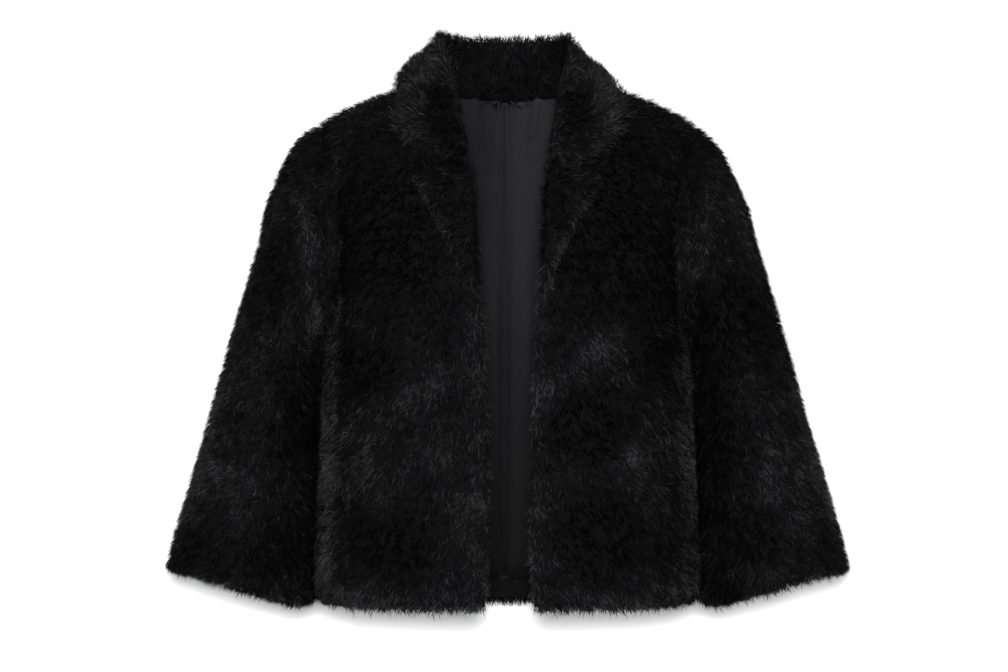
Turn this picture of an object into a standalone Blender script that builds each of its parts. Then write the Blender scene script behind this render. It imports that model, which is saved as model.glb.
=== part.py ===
"""Cropped faux fur jacket, worn open: a hollow shell of sewn cloth walls, in metres, +Z up.

The front faces -Y and +X is the viewer's right. The origin is the middle of the base of the neck, level with
the neck ends of the shoulder seams.
"""

import math

import bmesh
import bpy
import numpy as np

MM = 0.001

# Cloth
FUR_WALL = 8.0 * MM  # knitted backing and the dense foot of the pile
TURN_UP_WALL = 5.0 * MM  # the same cloth, sheared where it is turned up inside the hem
LINING_WALL = 1.2 * MM
SEAM_GAP = 0.3 * MM
COLLAR_SEAM_GAP = 0.8 * MM  # the collar's chords and the neckline's differ, which takes half of it in places
LAYER_GAP = 0.8 * MM  # between a layer and the panel that it lies on
LINING_GAP = 2.5 * MM  # a lining is cut with ease and doesn't cling
NECK_EASE, NECK_EASE_REACH = 5 * MM, 25 * MM  # more of that ease round each neck point

# Body
SHOULDER_COLUMNS = 10  # from the neck point to the armhole
NECK_COLUMNS = 7  # from the centre back to the neck point
NECK_COLUMN_X = 90 * MM  # where those columns part, all the way down the back
PLAN_POWER = 2.5  # 2 is an ellipse in plan, more is squarer
OPENING_SHIFT = 2.5 * MM  # the jacket hangs open a little to the viewer's right of its middle
NECK_POINT = np.array([86, 0, 12]) * MM
SHOULDER_TIP = np.array([181, 0, -25]) * MM
SHOULDER_ARCH = 5 * MM
BACK_NECK = np.array([0, 66, 3]) * MM

# Half the gap between the front edges, from the hem's rounded corner up to the neckline, in millimetres
OPENING = [
    dict(z=-499, half=24.0),
    dict(z=-478, half=19.0),
    dict(z=-300, half=24.0),
    dict(z=-240, half=26.0),
    dict(z=-196, half=30.0),
    dict(z=-146, half=34.0),
    dict(z=-96, half=36.0),
    dict(z=-62, half=40.0),
    dict(z=-30, half=64.0),
]

# The body's outer face from the hem up to just under the shoulder seams, in millimetres. z is given at the
# front edge, at the centre back and at the side. side is the half width out to the side seam or armhole,
# chest and back are the depths in front of and behind the side line, and arm_front and arm_back are how far
# the armhole's edge lies from that line. rows is how many rows of faces follow the section.
SECTION_COLUMNS = "z_front z_back z_side side chest back arm_front arm_back rows".split()
SECTION_ROWS = [
    ( -499,  -505,  -497,  183.0,  133,  127,   0,   0,  1),
    ( -425,  -428,  -425,  181.5,  133,  123,   0,   0,  1),
    ( -350,  -350,  -350,  179.5,  131,  115,   0,   0,  1),
    ( -285,  -285,  -285,  177.0,  129,  111,   0,   0,  1),
    ( -228,  -228,  -228,  174.0,  125,  112,   0,   0,  2),
    ( -202,  -202,  -214,  171.0,  121,  113,  38,  42,  1),
    ( -168,  -170,  -181,  167.5,  115,  114,  60,  65,  1),
    ( -132,  -135,  -143,  166.0,  107,  112,  65,  72,  1),
    (  -98,  -100,  -106,  167.5,   98,  107,  60,  66,  1),
    (  -62,   -62,   -72,  171.0,   84,   98,  46,  50,  2),
    (  -30,   -26,   -43,  176.0,   54,   84,  25,  28,  3),
]
SECTIONS = [dict(zip(SECTION_COLUMNS, row)) for row in SECTION_ROWS]
UNDERARM = 4  # the section where the armhole starts

# Soft folds in the body below the underarm, in millimetres: where across the panel they stand (0 at its
# first edge, 1 at its last), how wide and how high they are at the hem, and the height where they die out
BODY_FOLDS = [
    dict(piece="front_left", across=0.36, half_width=34, height=3.5, top=-250),
    dict(piece="front_left", across=0.78, half_width=30, height=3.0, top=-330),
    dict(piece="front_right", across=0.42, half_width=36, height=3.5, top=-270),
    dict(piece="front_right", across=0.80, half_width=28, height=3.0, top=-310),
    dict(piece="back", across=0.24, half_width=42, height=4.0, top=-240),
    dict(piece="back", across=0.47, half_width=38, height=3.0, top=-300),
    dict(piece="back", across=0.71, half_width=44, height=4.5, top=-235),
]

# Rings of the right sleeve after the armhole, in millimetres: its outermost and its innermost point in the
# front view, how deep it is in front of and behind the line between them, and how far that line lies forward
SLEEVE_RINGS = [
    dict(out_x=200.0, out_z=-40.5, in_x=180.0, in_z=-235, front=72, back=73, forward=0, rings=1),
    dict(out_x=216.0, out_z=-65.0, in_x=186.5, in_z=-242, front=74, back=73, forward=1, rings=1),
    dict(out_x=227.5, out_z=-97.0, in_x=190.0, in_z=-254, front=72, back=71, forward=2, rings=2),
    dict(out_x=243.5, out_z=-150.0, in_x=191.5, in_z=-282, front=67, back=67, forward=4, rings=2),
    dict(out_x=264.0, out_z=-218.0, in_x=192.0, in_z=-322, front=63, back=63, forward=6, rings=2),
    dict(out_x=288.5, out_z=-306.0, in_x=193.0, in_z=-384, front=62, back=62, forward=8, rings=2),
    dict(out_x=313.0, out_z=-391.0, in_x=194.5, in_z=-447, front=64, back=64, forward=9, rings=2),
    dict(out_x=334.5, out_z=-462.0, in_x=196.0, in_z=-503, front=67, back=67, forward=9, rings=0),
]

# The right half of the collar from the centre back round to its front end, in millimetres: the middle of the
# rolled fold with its radius, the outer face halfway down the fall, and the fall's free edge
COLLAR = [
    dict(roll=(0, 56, 43), radius=12, fall=(0, 84, 27), edge=(0, 101, -2)),
    dict(roll=(33, 50, 44), radius=12, fall=(50, 74, 28), edge=(56, 88, 3)),
    dict(roll=(55, 28, 45), radius=13, fall=(83, 42, 31), edge=(91, 52, 12)),
    dict(roll=(61, 2, 42), radius=13, fall=(91, 5, 33), edge=(101, 9, 20)),
    dict(roll=(58, -24, 29), radius=13, fall=(93, -26, 20), edge=(109, -24, 11)),
    dict(roll=(51, -52, 4), radius=12, fall=(88, -62, -8), edge=(113, -46, -6)),
    dict(roll=(42, -83, -36), radius=10, fall=(82, -92, -50), edge=(113, -66, -22)),
    dict(roll=(37, -96, -54), radius=8, fall=(72, -98, -65), edge=(106, -76, -40)),
]
COLLAR_STATIONS = 13
STAND_ROWS, ROLL_ROWS, FALL_ROWS = 2, 4, 4

# Outline of each lapel on its front panel, in millimetres: height and how far it reaches out
LAPEL = [
    dict(z=-73, reach=81),
    dict(z=-84, reach=86),
    dict(z=-104, reach=75),
    dict(z=-134, reach=58),
    dict(z=-164, reach=45),
    dict(z=-186, reach=37),
]
LAPEL_COLUMNS = 6
LAPEL_FULLNESS = 4 * MM

# Back lining: the share of the first row of faces at the hem that the fur turn-up takes, and its folds
TURN_UP_ROWS = 0.27
LINING_TOP_ROWS = 0.1
LINING_FOLDS = [
    dict(across=0.500, half_width=7, height=6.0, narrows=0.6),
    dict(across=0.455, half_width=12, height=2.5, narrows=0.9),
    dict(across=0.560, half_width=11, height=3.5, narrows=0.4),
    dict(across=0.385, half_width=16, height=3.0, narrows=0.7),
    dict(across=0.640, half_width=18, height=3.0, narrows=0.8),
]


def clear_scene():
    for thing in list(bpy.data.objects):
        bpy.data.objects.remove(thing, do_unlink=True)


def make_material(name, colour, roughness):
    material = bpy.data.materials.new(name)
    material.use_nodes = True
    shader = material.node_tree.nodes["Principled BSDF"]
    shader.inputs["Base Color"].default_value = (*colour, 1.0)
    shader.inputs["Roughness"].default_value = roughness
    shader.inputs["Metallic"].default_value = 0.0
    return material


def unit(vectors):
    return vectors / np.maximum(np.linalg.norm(vectors, axis=-1, keepdims=True), 1e-12)


def measured(line):
    """How far along the line each of its points lies."""
    return np.concatenate([[0], np.cumsum(np.linalg.norm(np.diff(line[:, :3], axis=0), axis=1))])


def divide(line, count):
    """The same line as count points at equal lengths. Columns past the third go along with their points."""
    lengths = measured(line)
    at = np.linspace(0, lengths[-1], count)
    return np.stack([np.interp(at, lengths, column) for column in line.T], axis=1)


def loft(keys, steps):
    """Rows on smooth curves through the key rows, with steps[i] rows of faces after key i."""
    keys = np.array(keys)
    span = np.linalg.norm(np.diff(keys, axis=0), axis=2).mean(axis=1)
    slope = np.diff(keys, axis=0) / span[:, None, None]
    before, after = span[:-1, None, None], span[1:, None, None]
    middle = (slope[:-1] * after + slope[1:] * before) / (before + after)
    tangent = np.concatenate([slope[:1], middle, slope[-1:]])
    rows = []
    for i, count in enumerate(steps):
        for t in np.arange(count) / count:
            rows.append(
                (2 * t**3 - 3 * t**2 + 1) * keys[i]
                + (t**3 - 2 * t**2 + t) * span[i] * tangent[i]
                + (3 * t**2 - 2 * t**3) * keys[i + 1]
                + (t**3 - t**2) * span[i] * tangent[i + 1]
            )
    rows.append(keys[len(steps)])
    return np.array(rows)


def read(table, column, at, by="z"):
    """A column of a table, between its rows."""
    rows = sorted(table, key=lambda row: row[by])
    return np.interp(at, [row[by] * MM for row in rows], [row[column] * MM for row in rows])


# Body


def section_line(inner_x, middle_y, side, arm_y, z_middle, z_side):
    """From the front edge or centre back out to the side seam or armhole, rounded in plan."""
    reach = math.acos(min(1.0, arm_y / abs(middle_y)) ** (PLAN_POWER / 2))
    angle = np.linspace(0, reach, 80)
    wide = np.sin(angle) ** (2 / PLAN_POWER)
    wide = wide / wide[-1]
    x = inner_x + (side - inner_x) * wide
    y = middle_y * np.cos(angle) ** (2 / PLAN_POWER)
    z = z_middle + (z_side - z_middle) * wide**2
    return np.stack([x, y, z], axis=1)


def split_at_x(line, x):
    """The line on each side of a distance from the centre, both with the point between."""
    cut = np.array([x, np.interp(x, line[:, 0], line[:, 1]), np.interp(x, line[:, 0], line[:, 2])])
    near, far = line[line[:, 0] < x], line[line[:, 0] > x]
    return np.vstack([near, cut]), np.vstack([cut, far])


def shoulder_line():
    t = np.linspace(0, 1, 40)[:, None]
    line = NECK_POINT + (SHOULDER_TIP - NECK_POINT) * t
    line[:, 2:] += SHOULDER_ARCH * np.sin(math.pi * t)
    return line


def back_neck_line():
    angle = np.linspace(0, math.pi / 2, 40)
    x = NECK_POINT[0] * np.sin(angle)
    y = BACK_NECK[1] * np.cos(angle)
    z = BACK_NECK[2] + (NECK_POINT[2] - BACK_NECK[2]) * (x / NECK_POINT[0]) ** 2
    return np.stack([x, y, z], axis=1)


def body_half(shift):
    """The right half of the body's outer face: the front's rows, and the back's out from the centre back."""
    front, back, neck = [], [], []
    for row in SECTIONS:
        z_front, z_back, z_side = row["z_front"] * MM, row["z_back"] * MM, row["z_side"] * MM
        side, chest, behind = row["side"] * MM, row["chest"] * MM, row["back"] * MM
        edge = read(OPENING, "half", z_front) + shift
        line = section_line(edge, -chest, side, row["arm_front"] * MM, z_front, z_side)
        front.append(divide(line, SHOULDER_COLUMNS + 1))
        line = section_line(0.0, behind, side, row["arm_back"] * MM, z_back, z_side)
        inner, outer = split_at_x(line, NECK_COLUMN_X)
        neck.append(divide(inner, NECK_COLUMNS + 1))
        back.append(divide(outer, SHOULDER_COLUMNS + 1))
    shoulder = divide(shoulder_line(), SHOULDER_COLUMNS + 1)
    steps = [row["rows"] for row in SECTIONS]
    over = loft(front + [shoulder] + back[::-1], steps + steps[::-1])
    seam = sum(steps)
    neck_rows = loft(neck + [divide(back_neck_line(), NECK_COLUMNS + 1)], steps)
    back_rows = over[seam:][::-1]
    return over[: seam + 1], np.concatenate([neck_rows[:, :-1], back_rows], axis=1)


def mirrored(grid):
    return grid * np.array([-1, 1, 1])


def body_grids():
    """The outer faces of the two fronts and the back, each a grid of rows from the hem upwards."""
    right, half = body_half(OPENING_SHIFT)
    left = body_half(-OPENING_SHIFT)[0]
    back = np.concatenate([mirrored(half)[:, :0:-1], half], axis=1)
    return dict(front_right=right, front_left=mirrored(left), back=back)


# Sleeves


def ring_line(ring, ahead):
    """Half of a sleeve ring, from its outermost to its innermost point, over its front or behind."""
    outer = np.array([ring["out_x"], -ring["forward"], ring["out_z"]]) * MM
    inner = np.array([ring["in_x"], -ring["forward"], ring["in_z"]]) * MM
    deep = np.array([0, -ring["front"] if ahead else ring["back"], 0]) * MM
    angle = np.linspace(0, math.pi, 120)[:, None]
    return (outer + inner) / 2 + np.cos(angle) * (outer - inner) / 2 + np.sin(angle) * deep


def like(line, pattern):
    """Points on a line, at the same shares of its length as the pattern's points are of the pattern's."""
    lengths, marks = measured(line), measured(pattern)
    at = marks / marks[-1] * lengths[-1]
    return np.stack([np.interp(at, lengths, column) for column in line.T], axis=1)


def sleeve_grid(front, back):
    """The right sleeve's outer face: closed rings from the armhole, given by its two panels, to the cuff."""
    start = sum(row["rows"] for row in SECTIONS[:UNDERARM])
    fore = front[start:, -1][::-1]
    hind = back[start:, -1]
    keys = [np.vstack([fore, hind[1:-1]])]
    for ring in SLEEVE_RINGS:
        ahead = like(ring_line(ring, True), fore)
        behind = like(ring_line(ring, False)[::-1], hind)
        keys.append(np.vstack([ahead, behind[1:-1]]))
    return loft(keys, [1] + [ring["rings"] for ring in SLEEVE_RINGS[:-1]])


# Collar


def neckline(edges, edge_normals, inward):
    """The neck edges as the collar's foot: its points on the fur side, then those on the wall's far side."""
    along = np.gradient(edges, axis=0)
    away = unit(edges - inward)
    away = unit(away - unit(along) * (away * unit(along)).sum(axis=1, keepdims=True)) * COLLAR_SEAM_GAP
    return np.hstack([edges - edge_normals * FUR_WALL + away, edges + away])


def collar_grid(foot, shift):
    """The fur face of the collar's right half: from the neck seam up its stand, over and down its fall."""
    guides = {}
    for name in ("roll", "fall", "edge"):
        keys = np.array([row[name] for row in COLLAR], float)[:, None] * MM
        guides[name] = divide(loft(keys, [4] * (len(COLLAR) - 1))[:, 0], COLLAR_STATIONS)
    radius = np.array([row["radius"] for row in COLLAR], float) * MM
    forward = np.linspace(0, 1, COLLAR_STATIONS)
    radius = np.interp(forward, np.linspace(0, 1, len(COLLAR)), radius)
    for points in guides.values():
        points[:, 0] += shift * forward
    columns = []
    for i in range(COLLAR_STATIONS):
        roll, fall, edge = guides["roll"][i], guides["fall"][i], guides["edge"][i]
        outward = unit((fall - roll) * np.array([1, 1, 0]))
        over = unit(np.array([0, 0, 1.0]) - outward * 0.1)
        lean = math.radians(20)
        angles = np.linspace(-math.pi / 2 + lean, math.pi / 2 - lean, ROLL_ROWS + 1)
        crest = [roll + radius[i] * (math.sin(a) * outward + math.cos(a) * over) for a in angles]
        stand = [foot[i] + (crest[0] - foot[i]) * k / STAND_ROWS for k in range(STAND_ROWS)]
        down = loft(np.array([crest[-1], fall, edge])[:, None], [FALL_ROWS // 2, FALL_ROWS // 2])[1:, 0]
        columns.append(np.vstack([stand, crest, down]))
    return np.stack(columns, axis=1)


# Cloth walls


def face_normals(grid, closed):
    ahead = np.roll(grid, -1, axis=1) if closed else grid[:, 1:]
    here = grid if closed else grid[:, :-1]
    return np.cross(here[1:] - ahead[:-1], ahead[1:] - here[:-1])


def own_normals(grids, signs, closed=()):
    """Unit normals by point of a surface that one or more grids make up."""
    total = {}
    for name, grid in grids.items():
        faces = unit(face_normals(grid, name in closed)) * signs[name]
        columns = grid.shape[1]
        for r in range(faces.shape[0]):
            for c in range(faces.shape[1]):
                for corner in ((r, c), (r + 1, c), (r, (c + 1) % columns), (r + 1, (c + 1) % columns)):
                    key = place(grid[corner])
                    total[key] = total.get(key, 0) + faces[r, c]
    return {key: unit(normal) for key, normal in total.items()}


def place(point):
    return tuple(np.round(point / (0.1 * MM)).astype(int))


def grid_normals(grid, *surfaces):
    """Unit normals at a grid's points, halfway between the surfaces that meet there."""
    normals = np.array([[sum(s[place(p)] for s in surfaces if place(p) in s) for p in row] for row in grid])
    on_side_line = np.abs(grid[..., 1]) < 0.05 * MM
    normals[on_side_line, 1] = 0.0  # the shoulder and side seams lie in the plane of the side line
    return unit(normals)


def drawn_in(grid, edges, distance):
    """The grid with the named edges moved towards its middle, which leaves a seam's gap there."""
    grid = grid.copy()
    if "top" in edges:
        grid[-1] += unit(grid[-2] - grid[-1]) * distance
    if "bottom" in edges:
        grid[0] += unit(grid[1] - grid[0]) * distance
    if "first" in edges:
        grid[:, 0] += unit(grid[:, 1] - grid[:, 0]) * distance
    if "last" in edges:
        grid[:, -1] += unit(grid[:, -2] - grid[:, -1]) * distance
    return grid


def make_wall(name, outer, inner, material, closed=False):
    """A closed solid between two faces of the cloth."""
    rows, columns = outer.shape[:2]
    shape = bmesh.new()
    faces = [[[shape.verts.new(point) for point in row] for row in grid] for grid in (outer, inner)]
    last = columns if closed else columns - 1
    for r in range(rows - 1):
        for c in range(last):
            n = (c + 1) % columns
            for face, order in zip(faces, (1, -1)):
                corners = [face[r][c], face[r][n], face[r + 1][n], face[r + 1][c]]
                shape.faces.new(corners[::order])
    rim = [(r, c, r, (c + 1) % columns) for r in (0, rows - 1) for c in range(last)]
    rim += [(r, c, r + 1, c) for c in (() if closed else (0, columns - 1)) for r in range(rows - 1)]
    for r, c, to_r, to_c in rim:
        a, b = faces[0][r][c], faces[0][to_r][to_c]
        under_a, under_b = faces[1][r][c], faces[1][to_r][to_c]
        # Two pieces that meet divide the quads of their edges alike, from the end that lies lower
        if a.co.z > b.co.z:
            a, b, under_a, under_b = b, a, under_b, under_a
        shape.faces.new([a, b, under_b])
        shape.faces.new([a, under_b, under_a])
    bmesh.ops.recalc_face_normals(shape, faces=shape.faces)
    mesh = bpy.data.meshes.new(name)
    shape.to_mesh(mesh)
    shape.free()
    mesh.materials.append(material)
    mesh.shade_smooth()
    mesh.set_sharp_from_angle(angle=math.radians(40))
    thing = bpy.data.objects.new(name, mesh)
    bpy.context.collection.objects.link(thing)
    return thing


def folded(grid, normals, name):
    """The panel's points with its soft upright folds."""
    across = np.linspace(0, 1, grid.shape[1])[None, :]
    width = np.linalg.norm(np.diff(grid[0], axis=0), axis=1).sum()
    z = grid[..., 2]
    lift = np.zeros(grid.shape[:2])
    for fold in BODY_FOLDS:
        if fold["piece"] == name:
            off = (across - fold["across"]) * width / (fold["half_width"] * MM)
            down = np.clip((fold["top"] * MM - z) / (fold["top"] * MM - z.min()), 0, 1)
            lift += fold["height"] * MM * np.exp(-(off**2)) * down
    return grid + normals * lift[..., None]


def row_between(grid, at):
    """A row of the grid at a fractional row number."""
    low = min(int(at), grid.shape[0] - 2)
    return grid[low] + (grid[low + 1] - grid[low]) * (at - low)


def rows_between(grid, start, stop, count):
    return np.array([row_between(grid, at) for at in np.linspace(start, stop, count)])


# Pieces


def make_body(grids, normals, fur):
    free = dict(front_right=("top", "last"), front_left=("top", "last"), back=("top", "first", "last"))
    for name, edges in free.items():
        outer = grids[name]
        inner = outer - normals[name] * FUR_WALL
        half = SEAM_GAP / 2
        make_wall(name, drawn_in(outer, edges, half), drawn_in(inner, edges, half), fur)


def make_sleeves(grids, normals, fur):
    """The sleeves, their first rings moved off the armhole seams, square to the seam."""
    for name in ("sleeve_right", "sleeve_left"):
        outer = grids[name].copy()
        inner = outer - normals[name] * FUR_WALL
        along = np.roll(outer[0], -1, axis=0) - np.roll(outer[0], 1, axis=0)
        away = unit(np.cross(along, normals[name][0]))
        away *= np.sign((away * (outer[1] - outer[0])).sum(axis=1, keepdims=True))
        outer[0] += away * SEAM_GAP
        inner[0] += away * SEAM_GAP
        make_wall(name, outer, inner, fur, closed=True)


def make_collar(grids, normals, fur):
    """The collar in one piece from end to end, its wall lying inside the roll."""
    seam = sum(row["rows"] for row in SECTIONS)
    gorge = sum(row["rows"] for row in SECTIONS[:-2])
    middle = grids["back"].shape[1] // 2
    faces, feet = {}, {}
    for name, side in (("front_right", 1), ("front_left", -1)):
        behind = slice(middle, middle + side * (NECK_COLUMNS + 1), side)
        ahead = slice(seam - 1, gorge - 1, -1)
        edges = np.vstack([grids["back"][-1, behind], grids[name][ahead, 0]])
        inward = np.vstack([grids["back"][-2, behind], grids[name][ahead, 1]])
        outward = np.vstack([normals["back"][-1, behind], normals[name][ahead, 0]])
        flip = np.array([side, 1, 1])
        foot = divide(neckline(edges * flip, outward * flip, inward * flip), COLLAR_STATIONS)
        faces[side] = collar_grid(foot[:, :3], side * OPENING_SHIFT) * flip
        feet[side] = foot[:, 3:] * flip
    face = np.concatenate([faces[-1][:, :0:-1], faces[1]], axis=1)
    under = face - grid_normals(face, own_normals(dict(collar=face), dict(collar=-1))) * FUR_WALL
    under[0] = np.vstack([feet[-1][:0:-1], feet[1]])
    make_wall("collar", face, under, fur)


def on_panel(grid, x, z):
    """The point of a front panel at a distance out and a height."""
    heights = grid[:, :, 2].mean(axis=1)
    low = int(np.clip(np.searchsorted(heights, z) - 1, 0, len(heights) - 2))
    share = (z - grid[low, :, 2]) / (grid[low + 1, :, 2] - grid[low, :, 2])
    line = grid[low] + (grid[low + 1] - grid[low]) * share[:, None]
    return np.array([x, np.interp(x, line[:, 0], line[:, 1]), z])


def make_lapel(name, front, normals, side, fur):
    """A triangle of the front facing, turned out at the roll line and lying on the front panel."""
    flip = np.array([side, 1, 1])
    panel, facing = front * flip, normals * flip
    back_face, fur_face = [], []
    for row in LAPEL:
        z = row["z"] * MM
        edge = np.interp(z, panel[:, 0, 2], panel[:, 0, 0])
        points, lifts = [], []
        for share in np.linspace(0, 1, LAPEL_COLUMNS):
            x = edge + (row["reach"] * MM - edge) * share
            points.append(on_panel(panel, x, z))
            lifts.append(LAYER_GAP + LAPEL_FULLNESS * math.sin(math.pi * share))
        points, lifts = np.array(points), np.array(lifts)[:, None]
        near = [np.argmin(np.linalg.norm(panel - point, axis=2)) for point in points]
        out = facing.reshape(-1, 3)[near]
        back_face.append(points + out * lifts)
        fur_face.append(points + out * (lifts + FUR_WALL))
    make_wall(name, np.array(fur_face) * flip, np.array(back_face) * flip, fur)


def make_back_inside(grids, normals, satin, fur):
    """The lining of the back with its folds, and below it the fur turned up inside the hem."""
    back = grids["back"]
    out = grid_normals(back, own_normals(dict(back=back), dict(back=1)))
    inside = back - out * (FUR_WALL + LAYER_GAP)
    start = TURN_UP_ROWS + 0.01
    rows = [start, *range(1, back.shape[0] - 1), back.shape[0] - 1 - LINING_TOP_ROWS]
    away = -unit(np.array([row_between(out, at) for at in rows]))
    behind = back - normals["back"] * FUR_WALL
    face = np.array([row_between(behind, at) for at in rows]) + away * LINING_GAP
    rows, columns = face.shape[:2]
    lift = np.zeros((rows, columns))
    up = np.linspace(0, 1, rows)[:, None]
    across = np.linspace(0, 1, columns)[None, :]
    width = np.linalg.norm(np.diff(face[0], axis=0), axis=1).sum()
    for fold in LINING_FOLDS:
        off = (across - fold["across"]) * width / (fold["half_width"] * MM * (1 + fold["narrows"] * (1 - up)))
        lift += fold["height"] * MM * np.exp(-(off**2)) * (0.35 + 0.65 * up)
    for neck_point in (NECK_POINT, mirrored(NECK_POINT)):
        lift += NECK_EASE * np.exp(-((np.linalg.norm(face - neck_point, axis=2) / NECK_EASE_REACH) ** 2))
    face = face + away * lift[..., None]
    edges = ("top", "first", "last")
    under = face + away * LINING_WALL
    make_wall("back_lining", drawn_in(face, edges, LINING_GAP), drawn_in(under, edges, LINING_GAP), satin)
    turn = rows_between(inside, 0.01, TURN_UP_ROWS, 3)
    deep = rows_between(out, 0.01, TURN_UP_ROWS, 3) * TURN_UP_WALL
    edges = ("first", "last")
    make_wall("back_hem_facing", drawn_in(turn, edges, SEAM_GAP), drawn_in(turn - deep, edges, SEAM_GAP), fur)


def main():
    clear_scene()
    fur = make_material("black_faux_fur", (0.010, 0.010, 0.012), 0.65)
    satin = make_material("black_satin", (0.022, 0.022, 0.024), 0.38)
    grids = body_grids()
    back = grids["back"]
    middle = back.shape[1] // 2
    grids["sleeve_right"] = sleeve_grid(grids["front_right"], back[:, middle:])
    grids["sleeve_left"] = mirrored(sleeve_grid(mirrored(grids["front_left"]), mirrored(back[:, middle::-1])))
    signs = dict(front_right=-1, front_left=1, back=1, sleeve_right=-1, sleeve_left=1)
    sleeves = ("sleeve_right", "sleeve_left")
    body = own_normals({name: grid for name, grid in grids.items() if name not in sleeves}, signs)
    tubes = [own_normals({name: grids[name]}, signs, closed=sleeves) for name in sleeves]
    normals = {name: grid_normals(grid, body, *tubes) for name, grid in grids.items()}
    grids = {name: folded(grid, normals[name], name) for name, grid in grids.items()}
    make_body(grids, normals, fur)
    make_sleeves(grids, normals, fur)
    make_collar(grids, normals, fur)
    for name, side in (("right", 1), ("left", -1)):
        make_lapel("lapel_" + name, grids["front_" + name], normals["front_" + name], side, fur)
    make_back_inside(grids, normals, satin, fur)


main()
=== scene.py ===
"""Cropped faux fur jacket, worn open: its cloth, the strands of its pile and the satin lining of its back."""

import math

import bmesh
import bpy
import numpy as np
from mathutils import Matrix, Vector, noise
from mathutils.bvhtree import BVHTree


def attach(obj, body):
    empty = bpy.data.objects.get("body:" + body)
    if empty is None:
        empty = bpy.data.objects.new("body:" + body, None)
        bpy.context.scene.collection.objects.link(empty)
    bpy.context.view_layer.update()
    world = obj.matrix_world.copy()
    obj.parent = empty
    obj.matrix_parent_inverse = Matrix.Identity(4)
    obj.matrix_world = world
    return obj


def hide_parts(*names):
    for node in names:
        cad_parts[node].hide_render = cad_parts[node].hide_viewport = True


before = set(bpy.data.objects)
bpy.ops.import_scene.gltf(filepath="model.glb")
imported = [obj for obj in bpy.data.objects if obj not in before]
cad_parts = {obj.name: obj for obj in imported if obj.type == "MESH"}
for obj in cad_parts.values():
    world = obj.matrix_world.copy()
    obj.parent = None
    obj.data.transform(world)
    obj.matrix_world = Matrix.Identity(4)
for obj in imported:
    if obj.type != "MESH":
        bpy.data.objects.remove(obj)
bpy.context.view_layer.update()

# Camera: level with the jacket's waist, straight in front of it, through a long lens, as a shop takes such a
# picture. One millimetre of the jacket, in the plane of its side seams, is one pixel.
PICTURE_WIDTH = 1008
METRES_PER_PIXEL = 0.001
CAMERA_DISTANCE = 4.5
CAMERA_AT = (-0.003, -CAMERA_DISTANCE, -0.236)

lens = bpy.data.cameras.new("camera")
lens.sensor_width = 36.0
lens.lens = lens.sensor_width * CAMERA_DISTANCE / (PICTURE_WIDTH * METRES_PER_PIXEL)
camera = bpy.data.objects.new("camera", lens)
camera.location = CAMERA_AT
camera.rotation_euler = (math.radians(90), 0, 0)
bpy.context.scene.collection.objects.link(camera)
bpy.context.scene.camera = camera

# Back: one wide panel of black faux fur, cut on the fold and sewn to the fronts, the sleeves and the collar.
# It is a knitted backing with a dense pile locked into it, and the pile lies down the back. What makes a fur
# piece is written here, and the other fur pieces use it too.
STRAND_MAP = "OFBake"  # across: how pale the strand is. Up: from its root to its tip
STRAND_DYE = [
    (0.1, (0.0005, 0.0005, 0.00055)),
    (0.5, (0.0064, 0.0064, 0.0069)),
    (1.0, (0.059, 0.059, 0.0625)),
]
ROOT_SHADE = 0.25  # a strand's root is this dark beside the rest of it
ROOT_SHADE_TO = 0.8  # and the shade ends this far up the strand


def principled(name, colour, roughness, specular):
    material = bpy.data.materials.new(name)
    material.use_nodes = True
    shader = material.node_tree.nodes["Principled BSDF"]
    shader.inputs["Base Color"].default_value = (*colour, 1.0)
    shader.inputs["Roughness"].default_value = roughness
    shader.inputs["Specular IOR Level"].default_value = specular
    return material, shader


def scaled(tree, value, low, high, to_low=0.0, to_high=1.0):
    """A value from low to high turned into one from to_low to to_high, and held there beyond them."""
    scale = tree.nodes.new("ShaderNodeMapRange")
    scale.inputs["From Min"].default_value = low
    scale.inputs["From Max"].default_value = high
    scale.inputs["To Min"].default_value = to_low
    scale.inputs["To Max"].default_value = to_high
    tree.links.new(value, scale.inputs["Value"])
    return scale.outputs["Result"]


def dyed(tree, value, stops):
    """The colour that a value has on a ramp. A stop is its place from 0 to 1 and its colour."""
    ramp = tree.nodes.new("ShaderNodeValToRGB")
    elements = ramp.color_ramp.elements
    elements.remove(elements[-1])
    for number, (place, colour) in enumerate(stops):
        stop = elements.new(place) if number else elements[0]
        stop.position = place
        stop.color = (*colour, 1.0)
    tree.links.new(value, ramp.inputs["Fac"])
    return ramp.outputs["Color"]


def multiplied(tree, first, second):
    product = tree.nodes.new("ShaderNodeMix")
    product.data_type = "RGBA"
    product.blend_type = "MULTIPLY"
    product.inputs["Factor"].default_value = 1.0
    tree.links.new(first, product.inputs["A"])
    tree.links.new(second, product.inputs["B"])
    return product.outputs["Result"]


def strand_material():
    """A strand's colour: darker at the root than at the tip, and paler in some strands than in others."""
    material, shader = principled("faux_fur_strands", (0.01, 0.01, 0.012), 0.45, 0.02)
    tree = material.node_tree
    place = tree.nodes.new("ShaderNodeUVMap")
    place.uv_map = STRAND_MAP
    split = tree.nodes.new("ShaderNodeSeparateXYZ")
    tree.links.new(place.outputs["UV"], split.inputs["Vector"])
    dye_and_painted_light = dyed(tree, split.outputs["X"], STRAND_DYE)
    shade = scaled(tree, split.outputs["Y"], 0.0, ROOT_SHADE_TO, ROOT_SHADE, 1.0)
    tree.links.new(multiplied(tree, dye_and_painted_light, shade), shader.inputs["Base Color"])
    return material


strands_finish = strand_material()
underfur_finish, _ = principled("underfur", (0.003, 0.003, 0.0035), 0.9, 0.05)
backing_finish, _ = principled("knitted_backing", (0.006, 0.006, 0.0065), 0.85, 0.1)

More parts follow.
